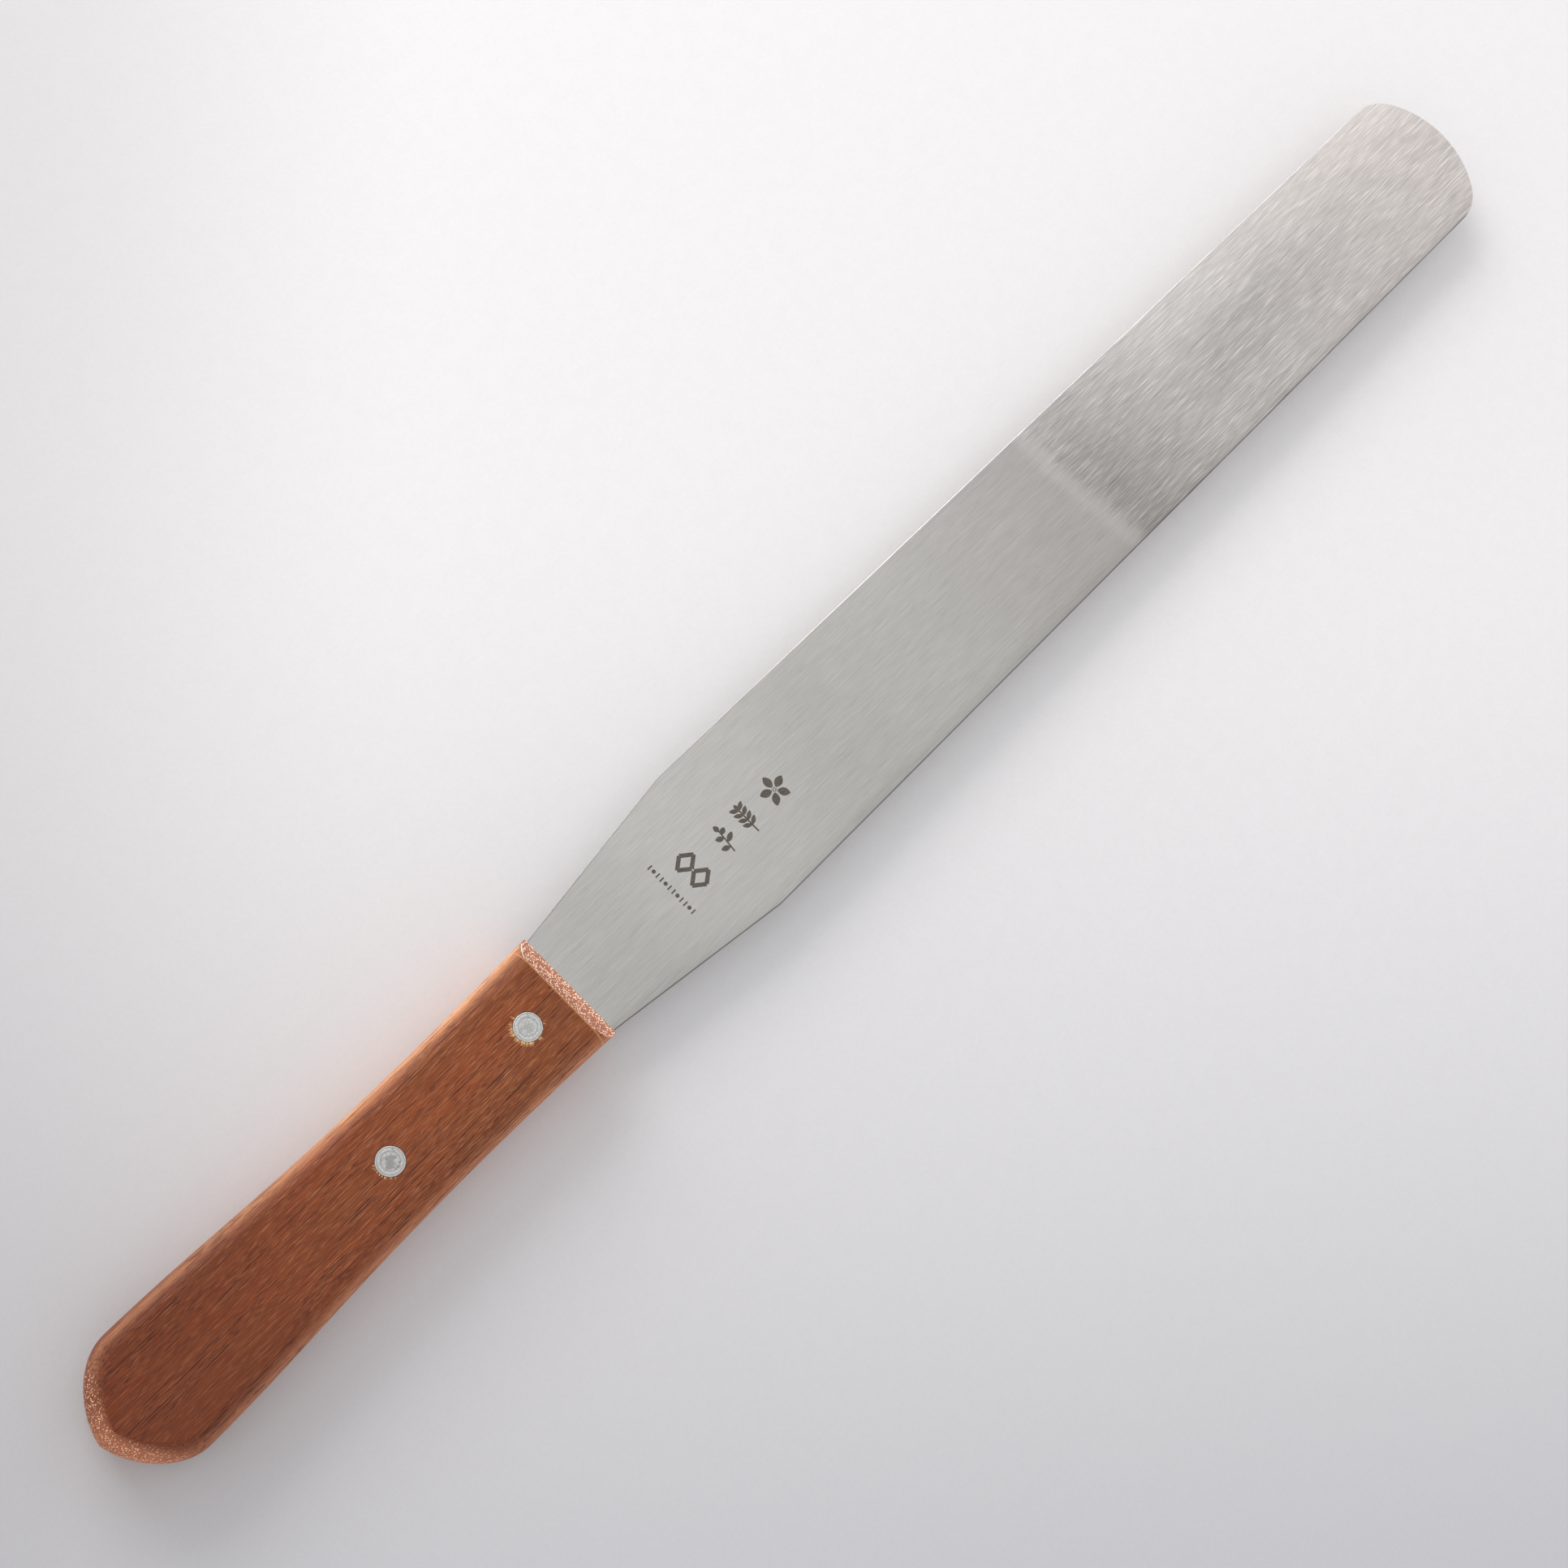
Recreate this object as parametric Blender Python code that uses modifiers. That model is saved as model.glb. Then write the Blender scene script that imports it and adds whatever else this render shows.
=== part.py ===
"""Straight palette knife (icing spatula): a spring-steel blade riveted into a slotted wooden handle.

Frame: metres, +X from the butt of the handle to the tip of the blade, +Y across the blade,
+Z up. The origin is under the middle of the whole knife, level with the handle's underside.
"""
import math

import bmesh
import bpy

# ---- driving dimensions (metres) -------------------------------------------------------------
BLADE_LENGTH = 0.305            # a 12 inch blade, from the handle's mouth to the tip
BLADE_WIDTH = 0.0365
BLADE_THICKNESS = 0.0012
TIP_THICKNESS = 0.0007
HANDLE_LENGTH = 0.1225
HANDLE_THICKNESS = 0.016
RIVET_DIAMETER = 0.006

# ---- blade -----------------------------------------------------------------------------------
MOUTH_BLADE_WIDTH = 0.0249      # width where the blade leaves the wood
SHOULDER_LENGTH = 0.044         # from the mouth to where the blade has its full width
SHOULDER_RADIUS = 0.020
TIP_RADIUS = 0.0231             # the flat arc across the end of the blade
TIP_CORNER_RADIUS = 0.0106      # the rounding between that arc and each long edge
GRIND_LENGTH = 0.163            # from the mouth to where the blade starts to thin
EDGE_ROUNDING = 0.00015
TANG_LENGTH = 0.062
TANG_INSET = 0.0006             # how far the tang stays inside the handle's sides

# ---- handle ----------------------------------------------------------------------------------
MOUTH_WIDTH = 0.0262
WAIST_WIDTH = 0.0244
WAIST_SETBACK = 0.040           # from the mouth back to the narrowest place
BUTT_WIDTH = 0.0282
BUTT_END = 0.0138               # length of the end, behind the widest place
BUTT_SIDE_PULL = 0.0067         # how far the end's curve runs straight on from the widest place
BUTT_TIP_PULL = 0.0067          # how far it runs straight up to the blunt point on the centre line
BUTT_TIP_LEAN = 0.0012          # how much that straight run leans, which makes the point
SIDE_ROUNDING = 0.0029
FRONT_BEVEL = 0.0043            # how far the front end slopes back, on each face
FRONT_LAND = 0.0006             # flat left on the front end, above and below the kerf

# ---- fits ------------------------------------------------------------------------------------
KERF_GAP = 0.00015
HOLE_GAP = 0.00015
RIVET_RECESS = 0.00005          # the rivet's filed ends stay a hair below the wood
RIVET_SETBACKS = {"rivet_front": 0.0135, "rivet_rear": 0.0505}      # behind the mouth
RIVET_EDGE = 0.0002

# ---- places worked out from the sizes above ----------------------------------------------------
MOUTH_X = HANDLE_LENGTH - (HANDLE_LENGTH + BLADE_LENGTH) / 2
TIP_X = MOUTH_X + BLADE_LENGTH
BUTT_X = MOUTH_X - HANDLE_LENGTH
MID_Z = HANDLE_THICKNESS / 2
WAIST_X = MOUTH_X - WAIST_SETBACK
WIDEST_X = BUTT_X + BUTT_END

ARC_STEP = math.radians(7)      # angle between points on a round stretch
CUTTER_OVERHANG = 0.004         # how far a cutter runs past the piece that it cuts


# ---- scene -----------------------------------------------------------------------------------
def clear_scene():
    for obj in list(bpy.data.objects):
        bpy.data.objects.remove(obj, do_unlink=True)


def new_collection(name):
    collection = bpy.data.collections.new(name)
    bpy.context.scene.collection.children.link(collection)
    return collection


def new_material(name, color, metallic, roughness):
    material = bpy.data.materials.new(name)
    material.use_nodes = True
    shader = material.node_tree.nodes["Principled BSDF"]
    shader.inputs["Base Color"].default_value = (*color, 1.0)
    shader.inputs["Metallic"].default_value = metallic
    shader.inputs["Roughness"].default_value = roughness
    return material


def shade_round(mesh):
    mesh.shade_smooth()
    mesh.set_sharp_from_angle(angle=math.radians(30))


# ---- outlines --------------------------------------------------------------------------------
def arc(center, radius, start, end):
    """Points on an arc, from one angle to another, both ends included."""
    steps = max(2, math.ceil(abs(end - start) / ARC_STEP))
    angles = [start + (end - start) * i / steps for i in range(steps + 1)]
    return [(center[0] + radius * math.cos(a), center[1] + radius * math.sin(a)) for a in angles]


def shoulder_arc(slope):
    """The rounding where the sloping edge turns into the long straight edge."""
    x = MOUTH_X + SHOULDER_LENGTH + SHOULDER_RADIUS * math.tan(slope / 2)
    center = (x, BLADE_WIDTH / 2 - SHOULDER_RADIUS)
    return arc(center, SHOULDER_RADIUS, math.pi / 2 + slope, math.pi / 2)


def tip_arcs():
    """The corner rounding and half of the flat arc across the end, down to the centre line."""
    end_center = (TIP_X - TIP_RADIUS, 0.0)
    corner_y = BLADE_WIDTH / 2 - TIP_CORNER_RADIUS
    reach = TIP_RADIUS - TIP_CORNER_RADIUS
    corner_x = end_center[0] + math.sqrt(reach ** 2 - corner_y ** 2)
    meet = math.atan2(corner_y, corner_x - end_center[0])
    corner = arc((corner_x, corner_y), TIP_CORNER_RADIUS, math.pi / 2, meet)
    return corner + arc(end_center, TIP_RADIUS, meet, 0.0)[1:]


def bezier(p0, p1, p2, p3, steps):
    """Points on a cubic curve, without its first point."""
    points = []
    for i in range(1, steps + 1):
        t = i / steps
        weights = ((1 - t) ** 3, 3 * t * (1 - t) ** 2, 3 * t * t * (1 - t), t ** 3)
        points.append(tuple(sum(w * p[k] for w, p in zip(weights, (p0, p1, p2, p3))) for k in (0, 1)))
    return points


def handle_side():
    """The handle's outline at +Y, from the mouth back to the middle of the butt."""
    mouth = (MOUTH_X, MOUTH_WIDTH / 2)
    waist = (WAIST_X, WAIST_WIDTH / 2)
    widest = (WIDEST_X, BUTT_WIDTH / 2)
    end = (BUTT_X, 0.0)
    front_run = WAIST_SETBACK / 3
    rear_run = (WAIST_X - WIDEST_X) / 2
    points = [mouth]
    points += bezier(mouth, (mouth[0] - front_run, mouth[1] - 0.0006),
                     (waist[0] + front_run, waist[1]), waist, 8)
    points += bezier(waist, (waist[0] - rear_run, waist[1]),
                     (widest[0] + rear_run * 0.7, widest[1]), widest, 10)
    points += bezier(widest, (widest[0] - BUTT_SIDE_PULL, widest[1]),
                     (end[0] + BUTT_TIP_LEAN, BUTT_TIP_PULL), end, 12)
    return points


def tang_side():
    """The tang's edge at +Y, from the end inside the handle to the mouth."""
    tang_end = MOUTH_X - TANG_LENGTH
    inside = [(x, y - TANG_INSET) for x, y in handle_side() if tang_end < x < MOUTH_X - 0.002]
    return [(tang_end, inside[-1][1])] + inside[::-1]


def mirrored(side):
    """A closed outline from its +Y side, whose last point is on the centre line."""
    return side + [(x, -y) for x, y in reversed(side) if abs(y) > 1e-9]


# ---- shapes ----------------------------------------------------------------------------------
def plate(name, outline, half_thickness):
    """A flat plate about z = 0, from a filled 2D curve that is then made a mesh."""
    curve = bpy.data.curves.new(name + "_outline", "CURVE")
    curve.dimensions = "2D"
    curve.fill_mode = "BOTH"
    curve.extrude = half_thickness
    spline = curve.splines.new("POLY")
    spline.points.add(len(outline) - 1)
    for point, (x, y) in zip(spline.points, outline):
        point.co = (x, y, 0.0, 1.0)
    spline.use_cyclic_u = True
    guide = bpy.data.objects.new(name + "_outline", curve)
    bpy.context.scene.collection.objects.link(guide)
    bpy.context.view_layer.update()
    evaluated = guide.evaluated_get(bpy.context.evaluated_depsgraph_get())
    mesh = bpy.data.meshes.new_from_object(evaluated)
    mesh.name = name
    bpy.data.objects.remove(guide, do_unlink=True)

    bm = bmesh.new()
    bm.from_mesh(mesh)
    bmesh.ops.remove_doubles(bm, verts=bm.verts[:], dist=1e-6)
    bmesh.ops.dissolve_limit(bm, angle_limit=math.radians(0.05), verts=bm.verts[:], edges=bm.edges[:])
    bmesh.ops.recalc_face_normals(bm, faces=bm.faces[:])
    bm.to_mesh(mesh)
    bm.free()
    return mesh


def place(name, mesh, material, collection, location):
    obj = bpy.data.objects.new(name, mesh)
    obj.location = location
    mesh.materials.clear()
    mesh.materials.append(material)
    collection.objects.link(obj)
    return obj


def weigh_rim(mesh, is_rounded):
    """Marks the edges between the flat faces and the sides for the Bevel modifier."""
    bm = bmesh.new()
    bm.from_mesh(mesh)
    weight = bm.edges.layers.float.new("bevel_weight_edge")
    for edge in bm.edges:
        flat_faces = [face for face in edge.link_faces if abs(face.normal.z) > 0.9]
        if len(flat_faces) == 1 and is_rounded(edge):
            edge[weight] = 1.0
    bm.to_mesh(mesh)
    bm.free()


def round_rim(obj, width, segments):
    modifier = obj.modifiers.new("rounded_edges", "BEVEL")
    modifier.limit_method = "WEIGHT"
    modifier.width = width
    modifier.segments = segments


def cut(obj, cutter):
    modifier = obj.modifiers.new("cut_" + cutter.name, "BOOLEAN")
    modifier.operation = "DIFFERENCE"
    modifier.object = cutter


def as_cutter(obj, name, collection):
    obj.name = name
    for owner in list(obj.users_collection):
        owner.objects.unlink(obj)
    collection.objects.link(obj)
    obj.hide_render = True
    obj.display_type = "WIRE"
    return obj


# ---- cutters ---------------------------------------------------------------------------------
def kerf_cutter(collection):
    """The saw cut for the tang, open at the mouth and at both sides of the handle."""
    depth = TANG_LENGTH + KERF_GAP + CUTTER_OVERHANG
    bpy.ops.mesh.primitive_cube_add(size=1.0)
    obj = bpy.context.object
    obj.scale = (depth, BUTT_WIDTH + 2 * CUTTER_OVERHANG, BLADE_THICKNESS + 2 * KERF_GAP)
    bpy.ops.object.transform_apply(location=False, rotation=False, scale=True)
    obj.location = (MOUTH_X + CUTTER_OVERHANG - depth / 2, 0.0, MID_Z)
    return as_cutter(obj, "kerf_cutter", collection)


def rivet_hole_cutter(name, setback, collection):
    radius = RIVET_DIAMETER / 2 + HOLE_GAP
    depth = HANDLE_THICKNESS + 2 * CUTTER_OVERHANG
    bpy.ops.mesh.primitive_cylinder_add(vertices=40, radius=radius, depth=depth)
    obj = bpy.context.object
    obj.location = (MOUTH_X - setback, 0.0, MID_Z)
    return as_cutter(obj, name + "_hole_cutter", collection)


def front_bevel_cutter(name, side, collection):
    """A wedge across the front end. side is +1 for the upper face and -1 for the lower one."""
    low = BLADE_THICKNESS / 2 + KERF_GAP + FRONT_LAND
    rise = HANDLE_THICKNESS / 2 - low
    slope = FRONT_BEVEL / rise
    over = CUTTER_OVERHANG
    wedge = [(0.0, low), (over, low), (over, low + rise + over), (-slope * (rise + over), low + rise + over)]
    mesh = plate(name, wedge, MOUTH_WIDTH / 2 + CUTTER_OVERHANG)
    obj = bpy.data.objects.new(name, mesh)
    obj.location = (MOUTH_X, 0.0, MID_Z)
    obj.rotation_euler = (side * math.pi / 2, 0.0, 0.0)
    return as_cutter(obj, name, collection)


# ---- pieces ----------------------------------------------------------------------------------
def make_blade(material, hole_cutters, collection):
    """Blade and tang in one: flat as far as the grind line, then thinner to the tip."""
    mouth = (MOUTH_X, MOUTH_BLADE_WIDTH / 2)
    slope = math.atan2(BLADE_WIDTH / 2 - mouth[1], SHOULDER_LENGTH)
    outline = mirrored(tang_side() + [mouth] + shoulder_arc(slope) + tip_arcs())
    mesh = plate("blade", outline, BLADE_THICKNESS / 2)
    weigh_rim(mesh, lambda edge: max(v.co.x for v in edge.verts) > MOUTH_X + 0.001)

    grind_x = MOUTH_X + GRIND_LENGTH
    thinning = (BLADE_THICKNESS - TIP_THICKNESS) / 2 / (TIP_X - grind_x)
    bm = bmesh.new()
    bm.from_mesh(mesh)
    everything = bm.verts[:] + bm.edges[:] + bm.faces[:]
    bmesh.ops.bisect_plane(bm, geom=everything, plane_co=(grind_x, 0, 0), plane_no=(1, 0, 0), dist=1e-7)
    for vert in bm.verts:
        if vert.co.x > grind_x:
            vert.co.z -= math.copysign(thinning * (vert.co.x - grind_x), vert.co.z)
    bm.to_mesh(mesh)
    bm.free()

    blade = place("blade", mesh, material, collection, (0.0, 0.0, MID_Z))
    round_rim(blade, EDGE_ROUNDING, 2)
    for cutter in hole_cutters:
        cut(blade, cutter)
    shade_round(mesh)
    return blade


def make_handle(material, cutters, collection):
    """One block of wood: rounded along both sides and the butt, then cut for its neighbours."""
    mesh = plate("handle", mirrored(handle_side()), HANDLE_THICKNESS / 2)
    weigh_rim(mesh, lambda edge: min(v.co.x for v in edge.verts) < MOUTH_X - 1e-6)
    handle = place("handle", mesh, material, collection, (0.0, 0.0, MID_Z))
    round_rim(handle, SIDE_ROUNDING, 5)
    for cutter in cutters:
        cut(handle, cutter)
    shade_round(mesh)
    return handle


def make_rivet(name, setback, material, collection):
    """A solid pin, filed flush at both ends: a turned profile about its own axis."""
    radius = RIVET_DIAMETER / 2
    top = HANDLE_THICKNESS / 2 - RIVET_RECESS
    half = [(0.0, top), (radius - RIVET_EDGE, top), (radius, top - RIVET_EDGE)]
    profile = half + [(r, -z) for r, z in reversed(half)]
    mesh = bpy.data.meshes.new(name)
    mesh.from_pydata([(r, 0.0, z) for r, z in profile], [(i, i + 1) for i in range(len(profile) - 1)], [])
    rivet = place(name, mesh, material, collection, (MOUTH_X - setback, 0.0, MID_Z))
    turn = rivet.modifiers.new("turned", "SCREW")
    turn.steps = 40
    turn.render_steps = 40
    turn.use_merge_vertices = True
    turn.merge_threshold = 1e-6
    shade_round(mesh)
    return rivet


def main():
    clear_scene()
    parts = new_collection("palette_knife")
    cutters = new_collection("cutters")
    steel = new_material("satin_steel", (0.46, 0.46, 0.44), 1.0, 0.34)
    wood = new_material("red_brown_wood", (0.215, 0.068, 0.030), 0.0, 0.55)
    aluminium = new_material("rivet_aluminium", (0.62, 0.64, 0.65), 1.0, 0.42)

    kerf = kerf_cutter(cutters)
    holes = [rivet_hole_cutter(name, setback, cutters) for name, setback in RIVET_SETBACKS.items()]
    bevels = [front_bevel_cutter("front_bevel_upper", 1, cutters),
              front_bevel_cutter("front_bevel_lower", -1, cutters)]

    make_blade(steel, holes, parts)
    make_handle(wood, [*bevels, kerf, *holes], parts)
    for name, setback in RIVET_SETBACKS.items():
        make_rivet(name, setback, aluminium, parts)


main()
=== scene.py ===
"""Looks of the straight palette knife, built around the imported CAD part.

Metres, in the part's own frame: +X from the butt to the tip, +Y across the blade, +Z up.
Places and overall sizes come from the frame's boxes. The outlines' inner sizes repeat the CAD part's,
and the small details are sized here.
"""
import math
import random

import bmesh
import bpy
from mathutils import Matrix, Vector, noise


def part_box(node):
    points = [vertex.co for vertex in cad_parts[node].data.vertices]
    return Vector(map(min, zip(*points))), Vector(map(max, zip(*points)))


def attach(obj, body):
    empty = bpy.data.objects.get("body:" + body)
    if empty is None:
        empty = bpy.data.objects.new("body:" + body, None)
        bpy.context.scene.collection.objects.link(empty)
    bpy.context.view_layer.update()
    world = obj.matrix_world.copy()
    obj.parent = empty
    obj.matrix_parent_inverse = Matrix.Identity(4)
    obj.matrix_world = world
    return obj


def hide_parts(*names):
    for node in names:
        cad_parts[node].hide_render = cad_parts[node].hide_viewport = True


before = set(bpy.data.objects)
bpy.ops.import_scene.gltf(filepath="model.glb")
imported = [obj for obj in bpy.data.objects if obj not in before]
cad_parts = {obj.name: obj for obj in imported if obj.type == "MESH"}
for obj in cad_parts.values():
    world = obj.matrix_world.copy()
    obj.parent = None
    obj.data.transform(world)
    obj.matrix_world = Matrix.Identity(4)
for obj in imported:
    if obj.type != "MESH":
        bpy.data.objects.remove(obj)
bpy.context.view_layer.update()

# ---- places and sizes read from the frame ------------------------------------------------------
blade_low, blade_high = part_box("blade")
handle_low, handle_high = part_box("handle")

MOUTH_X = handle_high.x
BUTT_X = handle_low.x
TIP_X = blade_high.x
TANG_END_X = blade_low.x
MID_Z = (handle_low.z + handle_high.z) / 2
BLADE_WIDTH = blade_high.y - blade_low.y
BLADE_HALF = (blade_high.z - blade_low.z) / 2
BLADE_TOP_Z = MID_Z + BLADE_HALF
BUTT_WIDTH = handle_high.y - handle_low.y
HANDLE_HALF = (handle_high.z - handle_low.z) / 2
HANDLE_TOP_Z = handle_high.z

# ---- sizes that a box does not give, the same as in the CAD part -------------------------------
MOUTH_BLADE_WIDTH = 0.0249
SHOULDER_LENGTH = 0.044
SHOULDER_RADIUS = 0.004         # crisper than the CAD corner, 0.04 mm from it
TIP_RADIUS = 0.0231
TIP_CORNER_RADIUS = 0.0106
GRIND_LENGTH = 0.163
TIP_HALF = 0.00035
TANG_INSET = 0.0006
MOUTH_WIDTH = 0.0262
WAIST_WIDTH = 0.0244
WAIST_SETBACK = 0.040
BUTT_END = 0.0138
BUTT_SIDE_PULL = 0.0067
BUTT_TIP_PULL = 0.0067
BUTT_TIP_LEAN = 0.0012
FRONT_BEVEL = 0.0044
FRONT_LAND = 0.0004
RIVETS = ("rivet_front", "rivet_rear")

# ---- finer shape of the visible surfaces -------------------------------------------------------
MOUTH_ROUNDING = 0.00006        # along the blade's edges where they leave the wood
TIP_ROUNDING = 0.00032          # the same edges at the tip
SIDE_BAND = 0.0036              # width of the rounding along the handle, seen from above
SIDE_DROP = 0.0046              # its height, so it is steeper than it is wide
SIDE_START = math.radians(13)   # its slope where it leaves the flat face, along the sides
BUTT_START = math.radians(33)   # the same round the butt, where the edge is crisp
BUTT_FACING = 0.6               # an outline that faces back at least this much counts as the butt
EDGE_CRISP = 0.00016            # the small radius between the flat face and its sides
WOOD_TOP_DROP = 0.00007         # the wood lies this far inside the CAD box, torn fibres do not
KERF_GAP = 0.00003
HOLE_GAP = 0.00007
RIVET_DROP = 0.00006
MARK_HEIGHT = 0.000012          # the etched film's thickness, made visible
MARK_DEPTH = 0.00010            # how far a mark's solid reaches down into the steel
TOP_STEP = 2e-7                 # height between two shapes of a mark, so no two tops coincide

WAIST_X = MOUTH_X - WAIST_SETBACK
WIDEST_X = BUTT_X + BUTT_END
GRIND_X = MOUTH_X + GRIND_LENGTH
WOOD_TOP_Z = HANDLE_TOP_Z - WOOD_TOP_DROP
ARC_STEP = math.radians(2.5)
BAND_STEPS = 12
ROUNDING_STEPS = 4
LEAF_STEPS = 10
WEDGE_SLICES = 150
HOLE_SEGMENTS = 96
DIRECTION_PASSES = 90
OVER = 0.004                    # how far a cutter runs past the wood

# The sloping front's upper edge: waves per metre, place in the noise and height of each jag.
JAGS = ((1700, 5.0, 0.00012), (450, 9.0, 0.00014))

# A rivet's end from its middle to its rim: (share of the radius, depth in steps of RING_DEPTH).
RIVET_FACE = ((0.10, 0.0), (0.20, 0.0), (0.30, 0.0), (0.40, 0.0), (0.50, 0.2), (0.57, 0.5),
              (0.61, 1.0), (0.65, 1.0), (0.69, 0.3), (0.76, 0.0), (0.83, 0.3), (0.86, 1.0),
              (0.89, 1.0), (0.92, 0.2), (0.955, 0.2), (0.985, 1.3), (1.0, 3.0))
RIVET_SEGMENTS = 72
RING_DEPTH = 0.00004
ROUGH_SHARE = 0.58              # the rough middle ends here
ROUGH_MIDDLE = 0.00005
ROUGH_ALL_OVER = 0.000006
ROUGH_WAVES = 1400

# Splinters round a rivet hole: angles in degrees, lengths in metres.
FIBRE_AIM = (8.0, 40.0)         # middle and spread of their direction, from straight back
FIBRE_BEND = 35.0
FIBRE_SHORTEST = 0.35           # as a share of the longest
FIBRE_ROOT = (-0.00003, 0.00006)
FIBRE_LIFT = (0.000005, 0.00002)
FIBRE_WIDTH = (0.00010, 0.00020)
FIBRE_THICKNESS = 0.000020
FIBRE_HEADROOM = 0.000012       # kept free below the CAD box's top
SLIVER_TAPER = 0.8              # share of its width that a splinter loses towards its tip

# ---- paint -------------------------------------------------------------------------------------
GRIND_LEAN = 0.11               # the grind line isn't quite square to the blade
GRIND_WANDER = 0.005
GRAIN_WAVER = 0.0007
# Painted shade towards the butt.
BUTT_SHADE_LENGTH = 0.100           # the wood gets darker towards the butt over this length

# ---- light and floor ---------------------------------------------------------------------------
SKY_TINT = (0.98, 0.99, 1.0)
SKY_OVERHEAD = 0.632
SKY_AHEAD = 0.480               # more light high up ahead of the tip, which the steel there mirrors
SKY_RING = (1.00, 1.60)         # light from low down: on the darker side and on the brighter side
RING_AHEAD = 0.30               # share of it ahead of the tip, where steel seen from behind mirrors it
BRIGHT_SIDE = (0.40, 0.92, 0.0)
KEY_PLACE = Vector((0.30, 1.05, 0.66))
KEY_AIM = Vector((-0.05, 0.0, 0.0))
KEY_SIZE = (1.0, 0.6)
KEY_POWER = 7.5
KEY_TINT = (1.0, 0.97, 0.95)
# Painted light: the floor is paler one way and darker at the far left, between the two colours below.
FALL_OFF_WAY = (0.68, 0.73, 0.0)    # the floor gets paler this way
BESIDE_WAY = (-0.69, 0.73, 0.0)     # the far left
FLOOR_PAINTED_BRIGHT = (0.935, 0.914, 0.920, 1.0)
FLOOR_PAINTED_DARK = (0.562, 0.557, 0.585, 1.0)
FLOOR_EVEN = (0.820, 0.805, 0.820, 1.0)
FLOOR_EVEN_FROM = (0.30, 0.95)  # where the even tone starts and is complete, from the knife's middle
FLOOR_RADIUS = 12.0
FLOOR_DROP = 0.00002


# ---- camera ------------------------------------------------------------------------------------
def make_camera():
    """Over the butt, looking down the knife at 69 degrees, turned so the blade rises to the right."""
    place = Vector((-0.21165, -0.0081, 0.4878))
    forward = Vector((0.3574, 0.0139, -0.9339)).normalized()
    up = Vector((0.6533, 0.7108, 0.2606))
    right = forward.cross(up).normalized()
    up = right.cross(forward)
    camera = bpy.data.cameras.new("camera")
    camera.lens = 56.4
    camera.sensor_width = 36.0
    camera.clip_start = 0.01
    camera.clip_end = 50.0
    obj = bpy.data.objects.new("camera", camera)
    turn = Matrix((right, up, -forward)).transposed().to_4x4()
    obj.matrix_world = Matrix.Translation(place) @ turn
    bpy.context.scene.collection.objects.link(obj)
    bpy.context.scene.camera = obj


# ---- outlines ----------------------------------------------------------------------------------
def arc(center, radius, start, end):
    """Points on an arc, from one angle to another, both ends included."""
    steps = max(3, math.ceil(abs(end - start) / ARC_STEP))
    angles = [start + (end - start) * i / steps for i in range(steps + 1)]
    return [Vector((center[0] + radius * math.cos(a), center[1] + radius * math.sin(a))) for a in angles]


def bezier(p0, p1, p2, p3, steps):
    """Points on a cubic curve, without its first point."""
    points = []
    for i in range(1, steps + 1):
        t = i / steps
        weights = ((1 - t) ** 3, 3 * t * (1 - t) ** 2, 3 * t * t * (1 - t), t ** 3)
        points.append(sum((w * Vector(p) for w, p in zip(weights, (p0, p1, p2, p3))), Vector((0, 0))))
    return points


def blade_side():
    """The blade's edge at +Y, from the mouth to the middle of the tip."""
    mouth = Vector((MOUTH_X, MOUTH_BLADE_WIDTH / 2))
    slope = math.atan2(BLADE_WIDTH / 2 - mouth.y, SHOULDER_LENGTH)
    shoulder_x = MOUTH_X + SHOULDER_LENGTH + SHOULDER_RADIUS * math.tan(slope / 2)
    shoulder = arc((shoulder_x, BLADE_WIDTH / 2 - SHOULDER_RADIUS), SHOULDER_RADIUS,
                   math.pi / 2 + slope, math.pi / 2)
    end_center = (TIP_X - TIP_RADIUS, 0.0)
    corner_y = BLADE_WIDTH / 2 - TIP_CORNER_RADIUS
    reach = TIP_RADIUS - TIP_CORNER_RADIUS
    corner_x = end_center[0] + math.sqrt(reach ** 2 - corner_y ** 2)
    meet = math.atan2(corner_y, corner_x - end_center[0])
    corner = arc((corner_x, corner_y), TIP_CORNER_RADIUS, math.pi / 2, meet)
    return [mouth] + shoulder + corner + arc(end_center, TIP_RADIUS, meet, 0.0)[1:]


def handle_side():
    """The handle's outline at +Y, from the mouth back to the middle of the butt."""
    mouth = (MOUTH_X, MOUTH_WIDTH / 2)
    waist = (WAIST_X, WAIST_WIDTH / 2)
    widest = (WIDEST_X, BUTT_WIDTH / 2)
    end = (BUTT_X, 0.0)
    front_run = WAIST_SETBACK / 3
    rear_run = (WAIST_X - WIDEST_X) / 2
    points = [Vector(mouth)]
    points += bezier(mouth, (mouth[0] - front_run, mouth[1] - 0.0006),
                     (waist[0] + front_run, waist[1]), waist, 24)
    points += bezier(waist, (waist[0] - rear_run, waist[1]),
                     (widest[0] + rear_run * 0.7, widest[1]), widest, 32)
    points += bezier(widest, (widest[0] - BUTT_SIDE_PULL, widest[1]),
                     (end[0] + BUTT_TIP_LEAN, BUTT_TIP_PULL), end, 36)
    return points


def tang_side():
    """The tang's edge at +Y, from its end inside the handle to just before the mouth."""
    inside = [p - Vector((0, TANG_INSET)) for p in handle_side() if TANG_END_X < p.x < MOUTH_X - 0.002]
    return [Vector((TANG_END_X, inside[-1].y))] + inside[::-1]


def both_sides(side):
    """A closed outline from its +Y side, whose last point is on the centre line."""
    return side + [Vector((p.x, -p.y)) for p in reversed(side) if abs(p.y) > 1e-9]


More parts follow.
